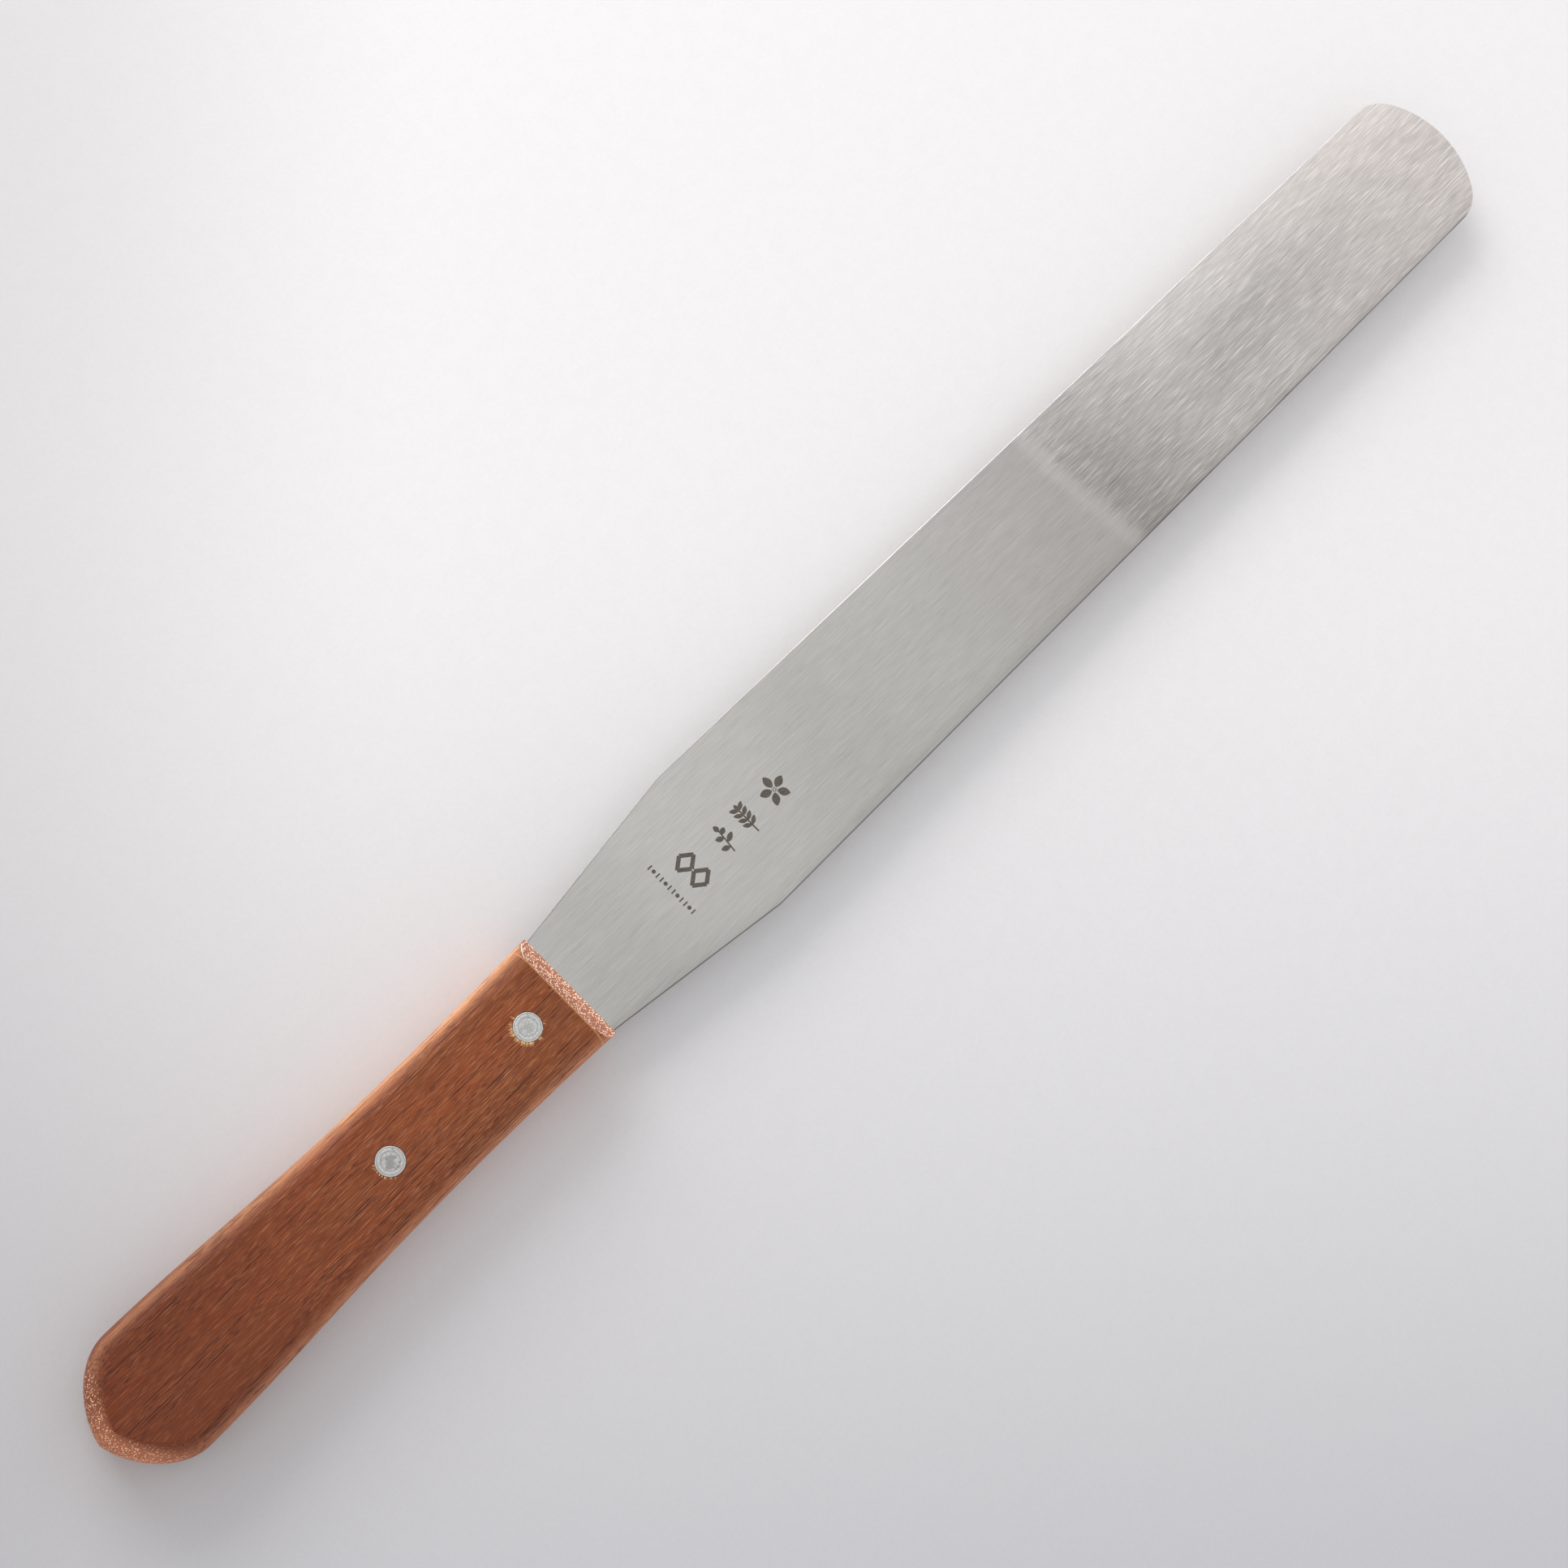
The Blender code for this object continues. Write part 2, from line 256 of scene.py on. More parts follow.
def inward(points, closed):
    """The unit direction into the shape at each outline point, for an outline that runs clockwise."""
    count = len(points)
    result = []
    for i, point in enumerate(points):
        before = points[i - 1] if closed or i > 0 else point
        after = points[(i + 1) % count] if closed or i < count - 1 else point
        a = (point - before).normalized() if before is not point else Vector((0, 0))
        b = (after - point).normalized() if after is not point else Vector((0, 0))
        along = (a + b).normalized()
        result.append(Vector((along.y, -along.x)))
    return result


# ---- mesh helpers --------------------------------------------------------------------------------
def new_object(name, bm, material):
    mesh = bpy.data.meshes.new(name)
    bm.to_mesh(mesh)
    bm.free()
    mesh.materials.append(material)
    obj = bpy.data.objects.new(name, mesh)
    bpy.context.scene.collection.objects.link(obj)
    return obj


def loft(bm, rings, closed):
    """Quads between rings of points, first ring at the top, and a flat cap on the first and last."""
    made = [[bm.verts.new(p) for p in ring] for ring in rings]
    count = len(rings[0])
    for upper, lower in zip(made, made[1:]):
        for i in range(count if closed else count - 1):
            j = (i + 1) % count
            bm.faces.new((upper[i], lower[i], lower[j], upper[j]))
    bm.faces.new(made[0])
    bm.faces.new(list(reversed(made[-1])))
    if not closed:
        bm.faces.new([ring[0] for ring in reversed(made)] + [ring[-1] for ring in made])
    bmesh.ops.recalc_face_normals(bm, faces=bm.faces[:])


def settle(obj, sharp_angle):
    """Applies the modifiers and shades the result smooth between its sharp edges."""
    evaluated = obj.evaluated_get(bpy.context.evaluated_depsgraph_get())
    mesh = bpy.data.meshes.new_from_object(evaluated)
    obj.modifiers.clear()
    obj.data = mesh
    mesh.shade_smooth()
    mesh.set_sharp_from_angle(angle=math.radians(sharp_angle))
    weighted = obj.modifiers.new("weighted_normals", "WEIGHTED_NORMAL")
    weighted.keep_sharp = True
    weighted.weight = 60


def cutter(bm, name):
    """An object to cut with; cut() removes it."""
    mesh = bpy.data.meshes.new(name)
    bm.to_mesh(mesh)
    bm.free()
    obj = bpy.data.objects.new(name, mesh)
    bpy.context.scene.collection.objects.link(obj)
    return obj


def cut(obj, cutters):
    """Boolean cuts, applied at once; the cutters are removed."""
    for tool in cutters:
        modifier = obj.modifiers.new("cut", "BOOLEAN")
        modifier.operation = "DIFFERENCE"
        modifier.object = tool
    evaluated = obj.evaluated_get(bpy.context.evaluated_depsgraph_get())
    mesh = bpy.data.meshes.new_from_object(evaluated)
    obj.modifiers.clear()
    obj.data = mesh
    for tool in cutters:
        bpy.data.objects.remove(tool, do_unlink=True)


def add_prism(bm, slices):
    """A closed prism across Y. A slice is (y, outline of (x, z) points); all have the same count."""
    rings = [[bm.verts.new((x, y, z)) for x, z in outline] for y, outline in slices]
    bm.faces.new(rings[0])
    bm.faces.new(list(reversed(rings[-1])))
    count = len(rings[0])
    for left, right in zip(rings, rings[1:]):
        for i in range(count):
            j = (i + 1) % count
            bm.faces.new((left[i], right[i], right[j], left[j]))
    bmesh.ops.recalc_face_normals(bm, faces=bm.faces[:])


def stand_in(obj, node):
    """Attaches a piece of this knife to the root body and hides the CAD part it stands in for, if any."""
    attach(obj, "root")
    if node:
        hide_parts(node)


# ---- node graphs ---------------------------------------------------------------------------------
class Graph:
    """A node tree and short calls for the nodes in it."""

    def __init__(self, owner, output="Principled BSDF"):
        owner.use_nodes = True
        self.owner = owner
        self.tree = owner.node_tree
        self.shader = self.tree.nodes[output]

    def add(self, kind, inputs=(), **settings):
        made = self.tree.nodes.new(kind)
        for name, value in settings.items():
            setattr(made, name, value)
        for key, value in dict(inputs).items():
            if isinstance(value, bpy.types.NodeSocket):
                self.tree.links.new(value, made.inputs[key])
            else:
                made.inputs[key].default_value = value
        return made

    def math(self, operation, a, b=0.0):
        return self.add("ShaderNodeMath", {0: a, 1: b}, operation=operation).outputs[0]

    def sum(self, *values):
        total = values[0]
        for value in values[1:]:
            total = self.math("ADD", total, value)
        return total

    def times(self, *values):
        product = values[0]
        for value in values[1:]:
            product = self.math("MULTIPLY", product, value)
        return product

    def swing(self, value, size):
        """Turns a noise about 0.5 into one about 0, size from end to end."""
        return self.times(self.math("SUBTRACT", value, 0.5), size)

    def spread(self, value, low, high, to_low=0.0, to_high=1.0):
        """Maps low..high onto to_low..to_high smoothly, held at both ends."""
        inputs = {"Value": value, "From Min": low, "From Max": high, "To Min": to_low, "To Max": to_high}
        return self.add("ShaderNodeMapRange", inputs, interpolation_type="SMOOTHSTEP").outputs["Result"]

    def hump(self, value, start, rise, fall, end):
        """0 up to start, 1 from rise to fall, 0 again from end."""
        return self.times(self.spread(value, start, rise), self.spread(value, fall, end, 1.0, 0.0))

    def vector(self, operation, a, b):
        made = self.add("ShaderNodeVectorMath", {0: a, 1: b}, operation=operation)
        return made.outputs["Value" if operation == "DOT_PRODUCT" else "Vector"]

    def scale(self, vector, factor):
        inputs = {0: vector, "Scale": factor}
        return self.add("ShaderNodeVectorMath", inputs, operation="SCALE").outputs[0]

    def axis(self, vector, name):
        return self.add("ShaderNodeSeparateXYZ", {0: vector}).outputs[name]

    def noise(self, place, detail, roughness):
        """A noise about 0.5, one unit of place to a wave."""
        inputs = {"Vector": place, "Scale": 1.0, "Detail": detail, "Roughness": roughness}
        return self.add("ShaderNodeTexNoise", inputs).outputs[0]

    def voronoi(self, place):
        return self.add("ShaderNodeTexVoronoi", {"Vector": place, "Scale": 1.0}).outputs["Distance"]

    def mix(self, factor, a, b):
        return self.add("ShaderNodeMix", {0: factor, 6: a, 7: b}, data_type="RGBA").outputs[2]

    def set(self, name, value):
        if isinstance(value, bpy.types.NodeSocket):
            self.tree.links.new(value, self.shader.inputs[name])
        else:
            self.shader.inputs[name].default_value = value


class Finish(Graph):
    """A material whose patterns are fixed in the part's own coordinates."""

    def __init__(self, name):
        super().__init__(bpy.data.materials.new(name))
        self.place = self.add("ShaderNodeTexCoord").outputs["Object"]

    def cells(self, scale, shift=(0.0, 0.0, 0.0)):
        """The place in cells per metre along each axis, then moved to another part of a pattern."""
        return self.vector("ADD", self.vector("MULTIPLY", self.place, scale), shift)

    def bump(self, height, distance, strength):
        inputs = {"Height": height, "Distance": distance, "Strength": strength}
        self.set("Normal", self.add("ShaderNodeBump", inputs).outputs[0])


def color(red, green, blue):
    return (red, green, blue, 1.0)


# ---- colours, linear -----------------------------------------------------------------------------
STEEL_BODY = color(0.630, 0.616, 0.586)
STEEL_GROUND = color(0.662, 0.626, 0.602)
STEEL_TIP = color(0.684, 0.628, 0.602)

WOOD_BROWN = color(0.252, 0.070, 0.022)
WOOD_RED = color(0.304, 0.072, 0.021)
WOOD_RIBBON = color(0.150, 0.038, 0.015)
# Painted shade: the wood darker towards the butt.
WOOD_BUTT_SHADE = color(0.125, 0.020, 0.006)
WOOD_STRAND = color(0.180, 0.050, 0.022)
WOOD_FIBRE = color(0.085, 0.018, 0.008)
WOOD_FLECK = color(0.560, 0.220, 0.095)
WOOD_VEIN = color(0.620, 0.255, 0.110)
WOOD_PORE = color(0.038, 0.009, 0.006)
WOOD_EDGE = color(0.720, 0.330, 0.150)

# Painted light: the rounded sides are paler than the flat top, most on the left, which faces the light. The
# last is painted shade on them towards the butt.
BAND_PAINTED_LIGHT_RIGHT = color(0.615, 0.240, 0.114)
BAND_PAINTED_LIGHT_LEFT = color(0.975, 0.475, 0.245)
BAND_BUTT_SHADE = color(0.190, 0.050, 0.024)

END_DEEP = color(0.225, 0.082, 0.049)
END_PALE = color(0.390, 0.153, 0.092)
END_AT_BUTT = color(0.330, 0.104, 0.052)
# Painted shade on the butt's left half.
END_BUTT_SHADE_LEFT = color(0.130, 0.034, 0.018)
DOT_FRONT = color(0.980, 0.680, 0.490)
DOT_BUTT = color(0.950, 0.600, 0.330)

RIVET_DEEP = color(0.60, 0.60, 0.59)
RIVET_PALE = color(0.80, 0.80, 0.78)
RIVET_BLOTCH = color(0.46, 0.45, 0.45)
RIVET_PATCH = color(0.36, 0.34, 0.33)
RIVET_RING = color(0.30, 0.29, 0.28)
RIVET_WARM = color(0.27, 0.225, 0.21)

OXIDE_DEEP = color(0.085, 0.070, 0.057)
OXIDE_PALE = color(0.155, 0.132, 0.110)
TORN_COLORS = (color(0.70, 0.34, 0.13), color(0.96, 0.62, 0.32))
# Near white, a painted highlight along the front bevel's left edge.
EDGE_HIGHLIGHT_COLORS = (color(0.82, 0.66, 0.52), color(0.95, 0.88, 0.78))
FLOOR_SPECK = color(0.5, 0.5, 0.5)


# ---- materials -----------------------------------------------------------------------------------
def brush_lines(g, hair, streak, ground, toward_tip):
    """Lighter and darker lines along the blade, stronger on the ground part and most at the tip."""
    scratch = g.noise(g.cells((150, 6400, 6400), (5.0, 90.0, 0.0)), 1.0, 0.5)
    fine = g.times(g.swing(hair, 1.0), g.spread(ground, 0.0, 1.0, 0.42, 0.70))
    coarse = g.times(g.swing(streak, 1.0), g.spread(ground, 0.0, 1.0, 0.08, 0.62),
                     g.spread(toward_tip, 0.0, 1.0, 1.0, 1.3))
    bright = g.times(g.spread(scratch, 0.56, 0.70), g.spread(ground, 0.0, 1.0, 0.07, 0.36))
    return g.sum(fine, coarse, bright)


def steel_zones(g, along, across, line_x, ground, cloud):
    """Broad lighter and darker areas: the shoulders, the grind line and what lies beyond it, and a painted
    reflection that lightens the blade towards +Y.
    """
    sweep = g.noise(g.cells((26, 40, 40), (3.0, 1.0, 0.0)), 1.0, 0.4)
    shoulder = g.hump(along, MOUTH_X + 0.012, MOUTH_X + 0.036, MOUTH_X + 0.042, MOUTH_X + 0.085)
    band = g.hump(line_x, GRIND_X - 0.0040, GRIND_X - 0.0005, GRIND_X + 0.0005, GRIND_X + 0.0040)
    around = g.hump(along, GRIND_X - 0.055, GRIND_X + 0.008, GRIND_X + 0.014, GRIND_X + 0.045)
    dip = g.hump(along, GRIND_X - 0.004, GRIND_X + 0.004, GRIND_X + 0.010, GRIND_X + 0.018)
    far_dip = g.hump(along, GRIND_X + 0.026, GRIND_X + 0.060, GRIND_X + 0.070, GRIND_X + 0.105)
    middle = g.spread(g.math("ABSOLUTE", across), 0.002, 0.012, 1.0, 0.0)
    # Painted reflection: lighter towards +Y, more so beyond the grind line.
    painted_lean = g.times(across, g.spread(ground, 0.0, 1.0, 2.4, 4.4))
    left = g.times(ground, g.spread(across, 0.003, 0.016, 0.0, 0.10))
    return g.sum(g.swing(cloud, 0.08), g.swing(sweep, 0.10), g.times(shoulder, 0.10),
                 g.times(band, 0.11), g.times(around, -0.17), g.times(dip, -0.07),
                 g.times(far_dip, middle, -0.115), g.times(ground, -0.05), painted_lean, left)


def painted_edge_shade(g, along, across):
    """How much darker the blade is along its two edges: painted shade, a soft band along the right edge and
    thin dark lines.
    """
    taper = {"Value": along, "From Min": MOUTH_X, "From Max": MOUTH_X + SHOULDER_LENGTH,
             "To Min": MOUTH_BLADE_WIDTH / 2, "To Max": BLADE_WIDTH / 2}
    half_width = g.add("ShaderNodeMapRange", taper).outputs["Result"]
    from_right = g.sum(half_width, across)
    from_left = g.math("SUBTRACT", half_width, across)
    right = g.sum(g.spread(from_right, 0.0038, 0.0, 0.0, 0.12),
                  g.spread(from_right, 0.00040, 0.00020, 0.0, 0.50))
    left = g.times(g.spread(from_left, 0.00030, 0.00016),
                   g.spread(along, MOUTH_X + 0.030, MOUTH_X + 0.120, 0.40, -0.10))
    return g.sum(right, left)


def brushed_steel():
    """Satin steel with brush lines along the blade, coarser beyond the grind line."""
    g = Finish("blade_steel")
    along, across = g.axis(g.place, "X"), g.axis(g.place, "Y")
    hair = g.noise(g.cells((100, 8200, 8200)), 2.0, 0.6)
    streak = g.noise(g.cells((170, 5000, 5000), (31.0, 7.0, 0.0)), 2.0, 0.6)
    cloud = g.noise(g.cells((45, 90, 90)), 2.0, 0.5)

    line_x = g.sum(along, g.times(across, GRIND_LEAN), g.swing(cloud, GRIND_WANDER))
    ground = g.spread(line_x, GRIND_X - 0.0015, GRIND_X + 0.0035)
    toward_tip = g.spread(along, GRIND_X + 0.030, TIP_X)
    tone = g.sum(1.0, brush_lines(g, hair, streak, ground, toward_tip),
                 steel_zones(g, along, across, line_x, ground, cloud))
    # Painted shade along the blade's edges.
    tone = g.times(tone, g.math("SUBTRACT", 1.0, painted_edge_shade(g, along, across)))
    tint = g.mix(g.spread(along, GRIND_X - 0.070, GRIND_X + 0.012), STEEL_BODY, STEEL_GROUND)
    tint = g.mix(toward_tip, tint, STEEL_TIP)

    g.set("Base Color", g.scale(tint, tone))
    g.set("Metallic", 1.0)
    g.set("Roughness", g.spread(streak, 0.3, 0.7, 0.27, 0.37))
    g.set("Anisotropic", 0.5)
    g.set("Tangent", g.add("ShaderNodeCombineXYZ", {0: 0.0, 1: 1.0, 2: 0.0}).outputs[0])
    g.bump(g.sum(hair, streak), 0.000012, 0.6)
    return g.owner


def wood_pores(g):
    """1 in a pore that runs along the wood. Pores gather in some areas and leave others free."""
    pore = g.voronoi(g.cells((45, 2700, 2700)))
    short_pore = g.voronoi(g.cells((260, 4200, 4200), (4.0, 9.0, 2.0)))
    where = g.noise(g.cells((14, 190, 190), (2.0, 8.0, 0.0)), 1.0, 0.5)
    return g.math("MAXIMUM", g.times(g.spread(pore, 0.25, 0.17), g.spread(where, 0.40, 0.48)),
                  g.times(g.spread(short_pore, 0.25, 0.16), g.spread(where, 0.46, 0.56)))


def wood_side_grain(g, facing, fibre, fleck, near_butt):
    """The wood's colour where its fibres lie in the surface, without its pores."""
    ribbon = g.noise(g.cells((8, 420, 260)), 2.0, 0.55)
    drift = g.noise(g.cells((18, 70, 70), (5.0, 2.0, 8.0)), 1.0, 0.5)
    strand = g.noise(g.cells((60, 3300, 3300), (2.0, 5.0, 1.0)), 1.0, 0.5)
    vein = g.noise(g.cells((80, 7400, 7400), (9.0, 3.0, 0.0)), 2.0, 0.5)
    breaks = g.noise(g.cells((280, 7400, 7400), (1.0, 6.0, 0.0)), 1.0, 0.5)
    left = g.spread(g.axis(facing, "Y"), 0.10, 0.60)
    rounded_side = g.spread(g.math("ABSOLUTE", g.axis(facing, "Z")), 0.90, 0.40)

    base = g.mix(g.spread(drift, 0.30, 0.70), WOOD_BROWN, WOOD_RED)
    base = g.mix(g.spread(ribbon, 0.55, 0.38, 0.0, 0.30), base, WOOD_RIBBON)
    # Painted shade: darker towards the butt.
    base = g.mix(g.times(near_butt, 0.62), base, WOOD_BUTT_SHADE)
    # Painted light: the rounded sides paler than the flat top, most on the left, which faces the light.
    base = g.mix(g.times(rounded_side, 0.92), base, g.mix(left, BAND_PAINTED_LIGHT_RIGHT, BAND_PAINTED_LIGHT_LEFT))
    # Painted shade on the rounded sides towards the butt, most on the left.
    butt_shade_on_band = g.times(rounded_side, near_butt, g.spread(left, 0.0, 1.0, 0.50, 1.00))
    base = g.mix(butt_shade_on_band, base, BAND_BUTT_SHADE)
    strands = g.times(g.spread(strand, 0.52, 0.34), g.spread(rounded_side, 0.0, 1.0, 0.20, 0.70))
    base = g.mix(strands, base, WOOD_STRAND)
    base = g.mix(g.spread(fibre, 0.52, 0.30, 0.0, 0.85), base, WOOD_FIBRE)
    flecks = g.times(g.spread(fleck, 0.56, 0.70, 0.0, 0.60), g.spread(near_butt, 0.0, 1.0, 1.0, 0.45))
    base = g.mix(flecks, base, WOOD_FLECK)
    veins = g.times(g.spread(vein, 0.60, 0.68), g.spread(breaks, 0.42, 0.54), 0.50,
                    g.spread(near_butt, 0.0, 1.0, 1.0, 0.35))
    return g.mix(veins, base, WOOD_VEIN)


def wood_end_grain(g, along, across, fibre, near_butt):
    """The wood's colour on its front faces and on the butt: a mid brown with pale dots."""
    dot = g.voronoi(g.cells((90, 1900, 1900), (3.3, 7.1, 1.7)))
    small_dot = g.voronoi(g.cells((160, 3000, 3000), (6.1, 2.7, 5.9)))
    base = g.mix(g.spread(fibre, 0.3, 0.7), END_DEEP, END_PALE)
    base = g.mix(g.times(near_butt, 0.80), base, END_AT_BUTT)
    # Painted shade on the butt's left half.
    base = g.mix(g.times(near_butt, g.spread(across, -0.002, 0.008), 0.80), base, END_BUTT_SHADE_LEFT)
    dots = g.math("MAXIMUM",
                  g.times(g.spread(dot, 0.43, 0.27), g.spread(near_butt, 0.0, 1.0, 1.0, 0.12)),
                  g.times(g.spread(small_dot, 0.32, 0.22), near_butt, 0.92))
    base = g.mix(g.times(dots, 0.95), base, g.mix(near_butt, DOT_FRONT, DOT_BUTT))
    # Painted light: the front face is paler towards the blade, lifting the shade there.
    return g.scale(base, g.spread(along, MOUTH_X - FRONT_BEVEL, MOUTH_X - 0.0008, 1.24, 1.60))


def handle_wood():
    """Open-grained red-brown hardwood: long thin pores along X, pale dots where they are cut across."""
    g = Finish("handle_wood")
    along, across = g.axis(g.place, "X"), g.axis(g.place, "Y")
    waver = g.swing(g.noise(g.cells((14, 60, 60)), 1.0, 0.5), GRAIN_WAVER)
    shift = g.add("ShaderNodeCombineXYZ", {0: 0.0, 1: waver, 2: waver}).outputs[0]
    g.place = g.vector("ADD", g.place, shift)
    fibre = g.noise(g.cells((210, 9000, 9000)), 2.0, 0.7)
    fleck = g.noise(g.cells((320, 8200, 8200), (7.0, 40.0, 0.0)), 1.0, 0.5)
    facing = g.add("ShaderNodeNewGeometry").outputs["Normal"]
    end = g.spread(g.math("ABSOLUTE", g.axis(facing, "X")), 0.30, 0.60)
    # Rises towards the butt, where the wood gets painted shade.
    near_butt = g.spread(along, BUTT_X + BUTT_SHADE_LENGTH, BUTT_X)

    pores = wood_pores(g)
    side_grain = wood_side_grain(g, facing, fibre, fleck, near_butt)
    side_grain = g.mix(g.times(pores, 0.92), side_grain, WOOD_PORE)
    base = g.mix(end, side_grain, wood_end_grain(g, along, across, fibre, near_butt))
    # A thin lighter line where the saw broke the upper edge of the front face.
    from_edge = g.math("ABSOLUTE", g.math("SUBTRACT", along, MOUTH_X - FRONT_BEVEL - 0.0001))
    base = g.mix(g.times(g.spread(from_edge, 0.00022, 0.00008), 0.55), base, WOOD_EDGE)

    g.set("Base Color", base)
    g.set("Roughness", g.spread(fibre, 0.2, 0.8, 0.45, 0.62))
    g.set("Specular IOR Level", 0.26)
    raised = g.sum(g.times(fibre, 0.30), g.times(fleck, 0.25))
    g.bump(g.math("SUBTRACT", raised, pores), 0.00006, 0.8)
    return g.owner


def rivet_metal():
    """Filed aluminium: pale and matt, a darker rough patch amid each end, two turned rings round it."""
    g = Finish("rivet_metal")
    grain = g.noise(g.cells((2600, 2600, 2600)), 3.0, 0.65)
    blotch = g.noise(g.cells((820, 820, 820)), 2.0, 0.55)
    along, across = g.axis(g.place, "X"), g.axis(g.place, "Y")
    away = []
    for node in RIVETS:
        low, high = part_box(node)
        away.append(g.math("ABSOLUTE", g.math("SUBTRACT", along, (low.x + high.x) / 2)))
    nearest = g.math("MINIMUM", *away)
    # Distance from the pin's axis, as a share of its radius.
    share = g.math("SQRT", g.sum(g.times(nearest, nearest), g.times(across, across)))
    share = g.times(share, 2 / (high.x - low.x))
    rear = g.spread(away[0], 0.010, 0.011)

    uneven = g.sum(share, g.swing(blotch, 1.9), g.swing(grain, 0.9))
    patch = g.times(g.spread(uneven, 0.66, 0.26), g.spread(rear, 0.0, 1.0, 0.42, 0.76))
    rings = g.sum(g.spread(g.math("ABSOLUTE", g.math("SUBTRACT", share, 0.63)), 0.055, 0.02),
                  g.spread(g.math("ABSOLUTE", g.math("SUBTRACT", share, 0.875)), 0.045, 0.015))
    base = g.mix(g.spread(grain, 0.3, 0.7), RIVET_DEEP, RIVET_PALE)
    base = g.mix(g.spread(blotch, 0.45, 0.70, 0.0, 0.30), base, RIVET_BLOTCH)
    base = g.mix(patch, base, RIVET_PATCH)
    base = g.mix(g.times(rings, 0.55), base, RIVET_RING)
    base = g.mix(g.times(rear, 0.10), base, RIVET_WARM)

    g.set("Base Color", base)
    g.set("Metallic", 0.85)
    g.set("Roughness", g.spread(blotch, 0.3, 0.7, 0.40, 0.58))
    g.bump(grain, 0.00003, 0.5)
    return g.owner


def etched_oxide():
    """The dark dull film that etching leaves on steel."""
    g = Finish("etched_oxide")
    grain = g.noise(g.cells((900, 5200, 5200)), 3.0, 0.6)
    g.set("Base Color", g.mix(g.spread(grain, 0.3, 0.7), OXIDE_DEEP, OXIDE_PALE))
    g.set("Metallic", 0.3)
    g.set("Roughness", g.spread(grain, 0.3, 0.7, 0.55, 0.70))
    return g.owner


def fibre_wood(name, deep, pale):
    """Fibre-streaked wood between two given colours: fresh torn fibre for the splinters, near white for a
    painted highlight.
    """
    g = Finish(name)
    fibre = g.noise(g.cells((1500, 6000, 6000)), 2.0, 0.6)
    g.set("Base Color", g.mix(g.spread(fibre, 0.3, 0.7), deep, pale))
    g.set("Roughness", g.spread(fibre, 0.3, 0.7, 0.6, 0.8))
    return g.owner


# ---- pieces ----------------------------------------------------------------------------------------
def rounded_profile(half):
    """Down a plate's side: (inset as a share of the rounding, z, how far z is drawn in, as a share)."""
    upper = []
    for i in range(ROUNDING_STEPS + 1):
        a = math.pi / 2 * i / ROUNDING_STEPS
        upper.append((1 - math.sin(a), half, 1 - math.cos(a)))
    return upper + [(inset, -z, drop) for inset, z, drop in reversed(upper)]


def make_blade(material):
    outline = both_sides(tang_side() + blade_side())
    normals = inward(outline, closed=True)
    radii = []
    for point in outline:
        share = max(0.0, (point.x - MOUTH_X) / (TIP_X - MOUTH_X))
        radii.append(MOUTH_ROUNDING + (TIP_ROUNDING - MOUTH_ROUNDING) * share)
    rings = []
    for inset, z, drop in rounded_profile(BLADE_HALF):
        ring = []
        for point, normal, radius in zip(outline, normals, radii):
            ring.append((*(point + inset * radius * normal), MID_Z + z - math.copysign(drop * radius, z)))
        rings.append(ring)
    bm = bmesh.new()
    loft(bm, rings, closed=True)
    everything = bm.verts[:] + bm.edges[:] + bm.faces[:]
    bmesh.ops.bisect_plane(bm, geom=everything, plane_co=(GRIND_X, 0, 0), plane_no=(1, 0, 0), dist=1e-7)
    thinning = (BLADE_HALF - TIP_HALF) / (TIP_X - GRIND_X)
    for vert in bm.verts:
        if vert.co.x > GRIND_X:
            vert.co.z -= math.copysign(thinning * (vert.co.x - GRIND_X), vert.co.z - MID_Z)
    blade = new_object("blade_steel", bm, material)
    settle(blade, sharp_angle=40)
    stand_in(blade, "blade")


def side_profile(start):
    """(inset, z) down the handle's side: flat face, an edge of the given slope, convex band, mirrored."""
    half = WOOD_TOP_Z - MID_Z
    band = []
    for i in range(BAND_STEPS + 1):
        a = start + (math.pi / 2 - start) * i / BAND_STEPS
        inset = SIDE_BAND * (1 - (math.sin(a) - math.sin(start)) / (1 - math.sin(start)))
        drop = SIDE_DROP * (math.cos(start) - math.cos(a)) / math.cos(start)
        band.append((inset, half - drop))
    first, second = Vector(band[0]), Vector(band[1])
    lower = first + (second - first).normalized() * EDGE_CRISP
    middle = (Vector((first.x + EDGE_CRISP, first.y)) + lower) / 4 + first / 2
    upper = [(first.x + EDGE_CRISP, first.y), tuple(middle), tuple(lower)] + band[1:]
    return upper + [(inset, -z) for inset, z in reversed(upper)]


def front_wedge(sign):
    """A cutter for the sloping front face; its upper edge wanders, as a torn edge does."""
    low = BLADE_HALF + KERF_GAP + FRONT_LAND
    high = HANDLE_HALF + OVER
    slope = FRONT_BEVEL / (WOOD_TOP_Z - MID_Z - low)
    wide = MOUTH_WIDTH / 2 + OVER
    slices = []
    for i in range(WEDGE_SLICES + 1):
        y = -wide + 2 * wide * i / WEDGE_SLICES
        jag = sum(noise.noise(Vector((y * waves, sign * place, 0.0))) * size for waves, place, size in JAGS)
        back = slope * (high - low) + jag
        wedge = [(0.0, low), (OVER, low), (OVER, high), (-back, high)]
        slices.append((y, [(MOUTH_X + x, MID_Z + sign * z) for x, z in wedge]))
    bm = bmesh.new()
    add_prism(bm, slices)
    return cutter(bm, "front_bevel")


